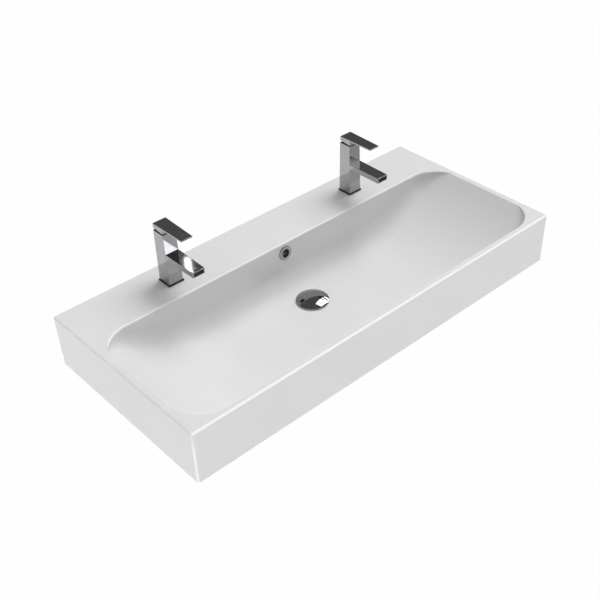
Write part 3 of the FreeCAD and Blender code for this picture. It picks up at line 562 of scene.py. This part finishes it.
def glazed_basin(material):
    """The basin with its hollow underside, the waste's boss and all its holes."""
    basin = outward(grown("glazed_basin", basin_tree(material), BASIN_SIZES))
    carved(basin, "DIFFERENCE", underside_hollow(material))
    skirt = floor_z - BOSS_CORE - OVERRUN
    boss = upright_rod(BOSS_RADIUS, 0, waste_y, boss_z, skirt)
    carved(basin, "UNION", boss, overflow_housing(boss_z, skirt))
    holes = [overflow_channel(), overflow_hole()]
    holes.append(upright_rod(WASTE_HOLE_RADIUS, 0, waste_y, boss_z - OVERRUN, floor_z + OVERRUN))
    holes.append(upright_rod(RECESS_RADIUS, 0, waste_y, floor_z - RECESS_DEPTH, floor_z + OVERRUN))
    for side in SIDES:
        low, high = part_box(f"tap_{side}_base_plate")
        x, y = plan_middle(low, high)
        holes.append(upright_rod(DECK_HOLE_RADIUS, x, y, deck_z - DECK_THICKNESS - OVERRUN, deck_z + OVERRUN))
        bolt_x = math.copysign(WALL_HOLE_SPACING / 2, x)
        bolt_end = (bolt_x, -APRON_THICKNESS - OVERRUN, 0)
        holes.append(rod_tool(WALL_HOLE_RADIUS, bolt_end, (bolt_x, OVERRUN, 0)))
    carved(basin, "DIFFERENCE", *holes)
    return smoothed(basin, BASIN_SHARP_ANGLE)


# Metal, plastic and rubber pieces

FLAT_ANGLE = math.radians(0.1)
LEAN_ALIKE = math.cos(math.radians(30.0))
CAP_EDGE_HEIGHT = 0.0022
CAP_EDGE_RADIUS = 0.0008
CAP_DOME_RISE = 0.007
CAP_BOSS_RADIUS = 0.006
CAP_BORE_RADIUS = 0.0026
CAP_BORE_DEPTH = 0.007
TURNED_SIDES = 144
TURNED_SHARP_ANGLE = math.radians(30.0)
DOME_POINTS = 40
THREAD_INPUTS = ("Radius", "Height", "Turns", "Ridge")
THREAD_STEPS = 32
RIDGE_SIDES = 4
RIDGE_SHARE = 0.28
TAIL_RADIUS = 0.02095
TAIL_PITCH = 0.0023
TAIL_THREAD_LENGTH = 0.040
TAIL_THREAD_SINK = 0.0004
STUD_PITCH = 0.00125
STUD_THREAD_LENGTH = 0.0125
STUD_THREAD_SINK = 0.0003
THREAD_END_ROOM = 0.001


def polished_copy(node):
    """A merged copy of a CAD node with even normals, to stand for it."""
    shape = bmesh.new()
    shape.from_mesh(frame["nodes"][node].data)
    bmesh.ops.remove_doubles(shape, verts=shape.verts, dist=SAME_PLACE)
    bmesh.ops.dissolve_limit(shape, angle_limit=FLAT_ANGLE, verts=shape.verts, edges=shape.edges)
    mesh = bpy.data.meshes.new(node + "_polished")
    shape.to_mesh(mesh)
    shape.free()
    even_normals(mesh)
    return new_object(node + "_polished", mesh)


def even_normals(mesh):
    """Corner normals from the faces round a corner that lean alike, where a large flat face decides."""
    mesh.polygons.foreach_set("use_smooth", [True] * len(mesh.polygons))
    faces_at = [[] for _ in mesh.vertices]
    for face in mesh.polygons:
        for corner in face.vertices:
            faces_at[corner].append(face)
    normals = []
    for face in mesh.polygons:
        for corner in face.vertices:
            alike = [other for other in faces_at[corner] if other.normal.dot(face.normal) > LEAN_ALIKE]
            normals.append(sum((other.normal * other.area ** 2 for other in alike), Vector()).normalized())
    mesh.normals_split_custom_set(normals)


def arc_points(centre, radius, first, last, count):
    """Points on an arc of (radius, height), from one heading to another."""
    turns = [first + (last - first) * step / count for step in range(count + 1)]
    return [(centre[0] + radius * math.cos(turn), centre[1] + radius * math.sin(turn)) for turn in turns]


def turned(name, outline, middle):
    """A closed piece turned about an upright axis from an outline that starts and ends on the axis."""
    shape = bmesh.new()
    rows = []
    for radius, height in outline:
        sides = TURNED_SIDES if radius > SAME_PLACE else 1
        row = []
        for side in range(sides):
            angle = 2 * math.pi * side / TURNED_SIDES
            x = middle[0] + radius * math.cos(angle)
            y = middle[1] + radius * math.sin(angle)
            row.append(shape.verts.new((x, y, height)))
        rows.append(row)
    for upper, lower in zip(rows, rows[1:]):
        for side in range(TURNED_SIDES):
            following = (side + 1) % TURNED_SIDES
            corners = [upper[side % len(upper)], lower[side % len(lower)],
                       lower[following % len(lower)], upper[following % len(upper)]]
            shape.faces.new(list(dict.fromkeys(corners)))
    bmesh.ops.recalc_face_normals(shape, faces=shape.faces)
    mesh = bpy.data.meshes.new(name)
    shape.to_mesh(mesh)
    shape.free()
    return smoothed(new_object(name, mesh), TURNED_SHARP_ANGLE)


def domed_cap():
    """The waste's cap: a shallow dome with a rounded edge, and the boss that the stem screws into."""
    radius = (cap_high.x - cap_low.x) / 2
    crown = cap_high.z
    underside = crown - CAP_DOME_RISE - CAP_EDGE_HEIGHT
    dome = (radius ** 2 + CAP_DOME_RISE ** 2) / (2 * CAP_DOME_RISE)
    centre = crown - dome
    inner = radius - CAP_EDGE_RADIUS
    lift = math.sqrt((dome - CAP_EDGE_RADIUS) ** 2 - inner ** 2)
    meeting = math.atan2(lift, inner)
    outline = [(0.0, crown)]
    outline += arc_points((0.0, centre), dome, QUARTER, meeting, DOME_POINTS)[1:]
    outline += arc_points((inner, centre + lift), CAP_EDGE_RADIUS, meeting, 0.0, ARC_POINTS)[1:]
    outline += arc_points((inner, underside + CAP_EDGE_RADIUS), CAP_EDGE_RADIUS, 0.0, -QUARTER, ARC_POINTS)
    outline += [(CAP_BOSS_RADIUS, underside), (CAP_BOSS_RADIUS, cap_low.z), (CAP_BORE_RADIUS, cap_low.z),
                (CAP_BORE_RADIUS, cap_low.z + CAP_BORE_DEPTH), (0.0, cap_low.z + CAP_BORE_DEPTH)]
    return turned("domed_cap", outline, (0.0, waste_y))


def thread_tree(material):
    """A ridge wound round an upright axis, from the foot of a thread to its top."""
    tree, size = new_tree("thread_rule", THREAD_INPUTS)
    coil = tree.nodes.new("GeometryNodeCurveSpiral")
    coil.inputs["Resolution"].default_value = THREAD_STEPS
    for socket in ("Start Radius", "End Radius"):
        tree.links.new(size["Radius"].socket, coil.inputs[socket])
    tree.links.new(size["Height"].socket, coil.inputs["Height"])
    tree.links.new(size["Turns"].socket, coil.inputs["Rotations"])
    ridge = tree.nodes.new("GeometryNodeCurvePrimitiveCircle")
    ridge.inputs["Resolution"].default_value = RIDGE_SIDES
    tree.links.new(size["Ridge"].socket, ridge.inputs["Radius"])
    sweep = tree.nodes.new("GeometryNodeCurveToMesh")
    sweep.inputs["Fill Caps"].default_value = True
    tree.links.new(coil.outputs[0], sweep.inputs["Curve"])
    tree.links.new(ridge.outputs[0], sweep.inputs["Profile Curve"])
    close_tree(tree, sweep.outputs[0], material)
    return tree


def thread_ridge(name, tree, radius, pitch, place, height):
    """A thread's ridge, half sunk into the rod that carries it, with its foot at a place."""
    ridge = pitch * RIDGE_SHARE
    piece = grown(name, tree, {"Radius": radius, "Height": height, "Turns": height / pitch, "Ridge": ridge})
    piece.data.transform(Matrix.Translation(place))
    return outward(piece)


# Materials

DRIFT_FROM_SHARE = 0.3
DRIFT_TO_SHARE = 0.7
SHEEN_SPREAD = 0.08


def new_material(name):
    """A new material, with its node tree and its shader."""
    material = bpy.data.materials.new(name)
    material.use_nodes = True
    return material, material.node_tree, material.node_tree.nodes["Principled BSDF"]


def surface_noise(tree, scale, detail, stretch=(1.0, 1.0, 1.0)):
    """Noise on the piece's own place, drawn out along an axis where stretch says so."""
    place = tree.nodes.new("ShaderNodeTexCoord")
    mapping = tree.nodes.new("ShaderNodeMapping")
    mapping.inputs["Scale"].default_value = stretch
    noise = tree.nodes.new("ShaderNodeTexNoise")
    noise.inputs["Scale"].default_value = scale
    noise.inputs["Detail"].default_value = detail
    tree.links.new(place.outputs["Object"], mapping.inputs["Vector"])
    tree.links.new(mapping.outputs[0], noise.inputs["Vector"])
    return noise.outputs["Fac"]


def tinted(tree, shader, factor, dark, light):
    """Colour that drifts between two close shades."""
    ramp = tree.nodes.new("ShaderNodeValToRGB")
    ramp.color_ramp.elements[0].position = DRIFT_FROM_SHARE
    ramp.color_ramp.elements[0].color = (*dark, 1.0)
    ramp.color_ramp.elements[1].position = DRIFT_TO_SHARE
    ramp.color_ramp.elements[1].color = (*light, 1.0)
    tree.links.new(factor, ramp.inputs["Fac"])
    tree.links.new(ramp.outputs["Color"], shader.inputs["Base Color"])


def paint_highlight(tree, shader, mark, light):
    """Painted highlight: the glaze colour turned paler where the mesh is marked, on its rounded edges."""
    place = tree.nodes.new("ShaderNodeAttribute")
    place.attribute_name = mark
    mix = tree.nodes.new("ShaderNodeMix")
    mix.data_type = "RGBA"
    body = shader.inputs["Base Color"].links[0].from_socket
    tree.links.new(place.outputs["Fac"], mix.inputs["Factor"])
    tree.links.new(body, mix.inputs["A"])
    mix.inputs["B"].default_value = (*light, 1.0)
    tree.links.new(mix.outputs["Result"], shader.inputs["Base Color"])


def roughened(tree, shader, factor, low, high):
    """Roughness that drifts between two values."""
    spread = tree.nodes.new("ShaderNodeMapRange")
    spread.inputs["To Min"].default_value = low
    spread.inputs["To Max"].default_value = high
    tree.links.new(factor, spread.inputs["Value"])
    tree.links.new(spread.outputs["Result"], shader.inputs["Roughness"])


def bumped(tree, shader, factor, strength, depth):
    """Fine unevenness of the surface, depth in metres."""
    bump = tree.nodes.new("ShaderNodeBump")
    bump.inputs["Strength"].default_value = strength
    bump.inputs["Distance"].default_value = depth
    tree.links.new(factor, bump.inputs["Height"])
    tree.links.new(bump.outputs["Normal"], shader.inputs["Normal"])


def white_glaze():
    """Fired glaze: a faint drift in white, a painted highlight on the rounded edges, a slow swell in the
    gloss.
    """
    material, tree, shader = new_material("white_glaze")
    drift = surface_noise(tree, scale=5.0, detail=3.0)
    tinted(tree, shader, drift, dark=(0.72, 0.72, 0.718), light=(0.74, 0.74, 0.738))
    # Painted highlight: the marked rounded edges mixed towards near white
    paint_highlight(tree, shader, PAINTED_HIGHLIGHT_MARK, light=(0.93, 0.93, 0.93))
    roughened(tree, shader, surface_noise(tree, scale=14.0, detail=4.0), low=0.07, high=0.13)
    bumped(tree, shader, surface_noise(tree, scale=30.0, detail=2.0), strength=0.12, depth=0.0003)
    return material


def bright_chrome():
    """Polished chrome plate: hazed a little by wiping."""
    material, tree, shader = new_material("bright_chrome")
    shader.inputs["Metallic"].default_value = 1.0
    haze = surface_noise(tree, scale=60.0, detail=5.0)
    tinted(tree, shader, haze, dark=(0.37, 0.37, 0.38), light=(0.40, 0.40, 0.41))
    roughened(tree, shader, surface_noise(tree, scale=180.0, detail=6.0), low=0.02, high=0.06)
    bumped(tree, shader, surface_noise(tree, scale=90.0, detail=2.0), strength=0.02, depth=0.0001)
    return material


def turned_brass():
    """Turned brass: fine rings round upright pieces."""
    material, tree, shader = new_material("turned_brass")
    shader.inputs["Metallic"].default_value = 1.0
    rings = surface_noise(tree, scale=40.0, detail=4.0, stretch=(1.0, 1.0, 60.0))
    tarnish = surface_noise(tree, scale=70.0, detail=5.0)
    tinted(tree, shader, tarnish, dark=(0.50, 0.38, 0.18), light=(0.62, 0.49, 0.26))
    roughened(tree, shader, rings, low=0.22, high=0.40)
    bumped(tree, shader, rings, strength=0.15, depth=0.0001)
    return material


def brushed_steel():
    """Brushed steel: fine lines all one way."""
    material, tree, shader = new_material("brushed_steel")
    shader.inputs["Metallic"].default_value = 1.0
    lines = surface_noise(tree, scale=60.0, detail=6.0, stretch=(1.0, 40.0, 1.0))
    drift = surface_noise(tree, scale=30.0, detail=4.0)
    tinted(tree, shader, drift, dark=(0.50, 0.50, 0.51), light=(0.60, 0.60, 0.60))
    roughened(tree, shader, lines, low=0.25, high=0.42)
    bumped(tree, shader, lines, strength=0.12, depth=0.0001)
    return material


def moulded(name, dark, light, roughness, grain):
    """A moulded or pressed piece's surface: a fine grain and an uneven sheen."""
    material, tree, shader = new_material(name)
    tinted(tree, shader, surface_noise(tree, scale=40.0, detail=4.0), dark, light)
    sheen = surface_noise(tree, scale=90.0, detail=4.0)
    roughened(tree, shader, sheen, low=roughness - SHEEN_SPREAD, high=roughness + SHEEN_SPREAD)
    bumped(tree, shader, surface_noise(tree, scale=grain, detail=3.0), strength=0.2, depth=0.0002)
    return material


finishes = {
    "glaze": white_glaze(),
    "chrome": bright_chrome(),
    "brass": turned_brass(),
    "steel": brushed_steel(),
    "black rubber": moulded("black_rubber", dark=(0.016, 0.016, 0.017), light=(0.026, 0.026, 0.027),
                            roughness=0.62, grain=900.0),
    "black plastic": moulded("black_plastic", dark=(0.02, 0.02, 0.022), light=(0.032, 0.032, 0.034),
                             roughness=0.42, grain=700.0),
    "white plastic": moulded("white_plastic", dark=(0.66, 0.66, 0.64), light=(0.72, 0.72, 0.70),
                             roughness=0.40, grain=700.0),
    "disc ceramic": moulded("disc_ceramic", dark=(0.70, 0.69, 0.66), light=(0.77, 0.76, 0.73),
                            roughness=0.25, grain=1200.0),
}
# The chrome pieces, which are all that the cards light
metal_pieces = bpy.data.collections.new("metal_pieces")


def belongs_to(piece, node):
    """A finished piece takes its body and finish from a CAD node."""
    slot = slot_of_node[node]
    piece.data.materials.clear()
    piece.data.materials.append(finishes[slot])
    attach(piece, body_of_node[node])
    if slot == "chrome":
        metal_pieces.objects.link(piece)


def stands_for(piece, node):
    """A finished piece takes the place of a CAD node."""
    belongs_to(piece, node)
    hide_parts(node)


# The dressed pieces

stands_for(glazed_basin(finishes["glaze"]), "basin")
stands_for(domed_cap(), "waste_cap")

SHOWN_PARTS = ["base_gasket", "base_plate", "body", "flow_straightener", "top_trim", "handle"]
shown_nodes = ["overflow_ring", "waste_body"]
shown_nodes += [f"tap_{side}_{part}" for side in SIDES for part in SHOWN_PARTS]
for node in shown_nodes:
    stands_for(polished_copy(node), node)

thread_rule = thread_tree(finishes["steel"])
tail_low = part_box("waste_body")[0]
tail_foot = Vector((0.0, waste_y, tail_low.z + THREAD_END_ROOM))
tail_thread = thread_ridge("waste_tail_thread", thread_rule, TAIL_RADIUS - TAIL_THREAD_SINK, TAIL_PITCH,
                           tail_foot, TAIL_THREAD_LENGTH)
belongs_to(tail_thread, "waste_body")
for side in SIDES:
    node = f"tap_{side}_stud"
    low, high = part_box(node)
    stud_foot = Vector((*plan_middle(low, high), low.z + THREAD_END_ROOM))
    stud_radius = (high.x - low.x) / 2 - STUD_THREAD_SINK
    stud_thread = thread_ridge(f"tap_{side}_stud_thread", thread_rule, stud_radius, STUD_PITCH,
                               stud_foot, STUD_THREAD_LENGTH)
    belongs_to(stud_thread, node)

for node, slot in slot_of_node.items():
    frame["nodes"][node].data.materials.clear()
    frame["nodes"][node].data.materials.append(finishes[slot])


# Stage, light and camera

FLOOR_DROP = 0.85
FLOOR_REACH = 40.0
FLOOR_LIFT_SHARE = 0.97
FLOOR_ROUGHNESS = 0.9
# The world by the height of a direction, which is 0 at the horizon and 1 overhead
PALE_UP_TO = 0.22
PALE_SHADE = (0.62, 0.62, 0.62, 1.0)
DIM_FROM = 0.36
DIM_SHADE = (0.14, 0.14, 0.14, 1.0)


def white_floor():
    """Matt pale floor that reads as white paper to the lens and in metal, and still takes shadows."""
    material, tree, shader = new_material("white_floor")
    drift = surface_noise(tree, scale=2.0, detail=3.0)
    tinted(tree, shader, drift, dark=(0.64, 0.64, 0.64), light=(0.66, 0.66, 0.66))
    shader.inputs["Roughness"].default_value = FLOOR_ROUGHNESS
    glow = tree.nodes.new("ShaderNodeEmission")
    path = tree.nodes.new("ShaderNodeLightPath")
    seen = Term(tree, path.outputs["Is Camera Ray"])
    for ray in ("Is Glossy Ray", "Is Transmission Ray"):
        seen = seen.math("MAXIMUM", Term(tree, path.outputs[ray]))
    seen = seen * FLOOR_LIFT_SHARE
    mix = tree.nodes.new("ShaderNodeMixShader")
    tree.links.new(seen.socket, mix.inputs["Fac"])
    tree.links.new(shader.outputs[0], mix.inputs[1])
    tree.links.new(glow.outputs[0], mix.inputs[2])
    tree.links.new(mix.outputs[0], tree.nodes["Material Output"].inputs["Surface"])
    return material


def floor_sheet():
    """The floor that the wall-hung basin is seen against, well below it."""
    floor = box_tool(-FLOOR_REACH, FLOOR_REACH, -FLOOR_REACH, FLOOR_REACH,
                     foot_z - FLOOR_DROP - OVERRUN, foot_z - FLOOR_DROP)
    floor.name = "floor_sheet"
    floor.data.materials.append(white_floor())


def studio_world():
    """Pale near the horizon and dim overhead, as a white studio with a dark ceiling is."""
    world = bpy.data.worlds.new("studio")
    world.use_nodes = True
    tree = world.node_tree
    place = tree.nodes.new("ShaderNodeTexCoord")
    split = tree.nodes.new("ShaderNodeSeparateXYZ")
    ramp = tree.nodes.new("ShaderNodeValToRGB")
    tree.links.new(place.outputs["Generated"], split.inputs[0])
    tree.links.new(split.outputs["Z"], ramp.inputs["Fac"])
    stops = ramp.color_ramp.elements
    stops[0].position = PALE_UP_TO
    stops[0].color = PALE_SHADE
    stops[1].position = DIM_FROM
    stops[1].color = DIM_SHADE
    tree.links.new(ramp.outputs["Color"], tree.nodes["Background"].inputs["Color"])
    bpy.context.scene.world = world


def soft_box(name, azimuth, elevation, distance, width, height, power, card):
    """A flat lamp aimed at the basin, with its azimuth in degrees from +Y towards +X.

    A card lights only the chrome and shows in it. Any other lamp lights everything and shows in nothing.
    """
    lamp = bpy.data.lights.new(name, "AREA")
    lamp.shape = "RECTANGLE"
    lamp.size = width
    lamp.size_y = height
    lamp.energy = power
    turn, rise = math.radians(azimuth), math.radians(elevation)
    away = Vector((math.sin(turn) * math.cos(rise), math.cos(turn) * math.cos(rise), math.sin(rise)))
    aim = Vector((0.0, -basin_depth / 2, deck_z))
    holder = bpy.data.objects.new(name, lamp)
    facing = away.to_track_quat("Z", "Y").to_matrix().to_4x4()
    holder.matrix_world = Matrix.Translation(aim + away * distance) @ facing
    holder.visible_camera = False
    holder.visible_glossy = card
    if card:
        holder.light_linking.receiver_collection = metal_pieces
    bpy.context.scene.collection.objects.link(holder)


# Each lamp: name, azimuth, elevation, distance, width, height, power, whether it is a card
LAMPS = [
    ("card_right", 69.0, 45.0, 6.0, 1.5, 4.0, 81.0, True),
    ("card_front", 151.1, 34.07, 5.82, 1.3, 0.3, 7.0, True),
    ("card_front_dim", 133.3, 34.3, 6.13, 1.3, 1.3, 7.0, True),
    ("card_strip", 29.61, 37.33, 7.0, 0.051, 0.594, 0.6, True),
    ("lamp_key", 85.0, 55.0, 20.0, 12.0, 12.0, 2150.0, False),
    ("lamp_side", 110.0, 60.0, 20.0, 12.0, 12.0, 560.0, False),
    ("lamp_top", 0.0, 88.0, 20.0, 12.0, 12.0, 350.0, False),
    ("lamp_sky", 0.0, 89.9, 12.0, 48.0, 48.0, 2550.0, False),
    ("lamp_corner", 225.0, -2.5, 12.0, 4.8, 0.8, 555.0, False),
    ("lamp_left", 275.0, -2.5, 12.0, 4.8, 0.8, 100.0, False),
]

CAMERA_PLACE = Vector((-1.10018, -1.46652, 1.23212))
CAMERA_TURN = math.radians(42.19)
CAMERA_DROP = math.radians(39.14)
CAMERA_ROLL = math.radians(-1.32)
CAMERA_LENS = 57.12
CAMERA_SENSOR = 36.0
CAMERA_SHIFT = (-0.0433, 0.0507)
CAMERA_REACH = 100.0


def photo_camera():
    """The photograph's viewing angle and framing."""
    data = bpy.data.cameras.new("photo_camera")
    data.sensor_fit = "HORIZONTAL"
    data.sensor_width = CAMERA_SENSOR
    data.lens = CAMERA_LENS
    data.shift_x, data.shift_y = CAMERA_SHIFT
    data.clip_end = CAMERA_REACH
    look = Vector((math.sin(CAMERA_TURN) * math.cos(CAMERA_DROP),
                   math.cos(CAMERA_TURN) * math.cos(CAMERA_DROP), -math.sin(CAMERA_DROP)))
    level = Vector((math.cos(CAMERA_TURN), -math.sin(CAMERA_TURN), 0.0))
    above = level.cross(look)
    right = level * math.cos(CAMERA_ROLL) + above * math.sin(CAMERA_ROLL)
    up = above * math.cos(CAMERA_ROLL) - level * math.sin(CAMERA_ROLL)
    camera = bpy.data.objects.new("photo_camera", data)
    camera.matrix_world = Matrix.Translation(CAMERA_PLACE) @ Matrix((right, up, -look)).transposed().to_4x4()
    bpy.context.scene.collection.objects.link(camera)
    bpy.context.scene.camera = camera


floor_sheet()
studio_world()
for lamp in LAMPS:
    soft_box(*lamp)
photo_camera()
bpy.context.scene.view_settings.view_transform = "Standard"
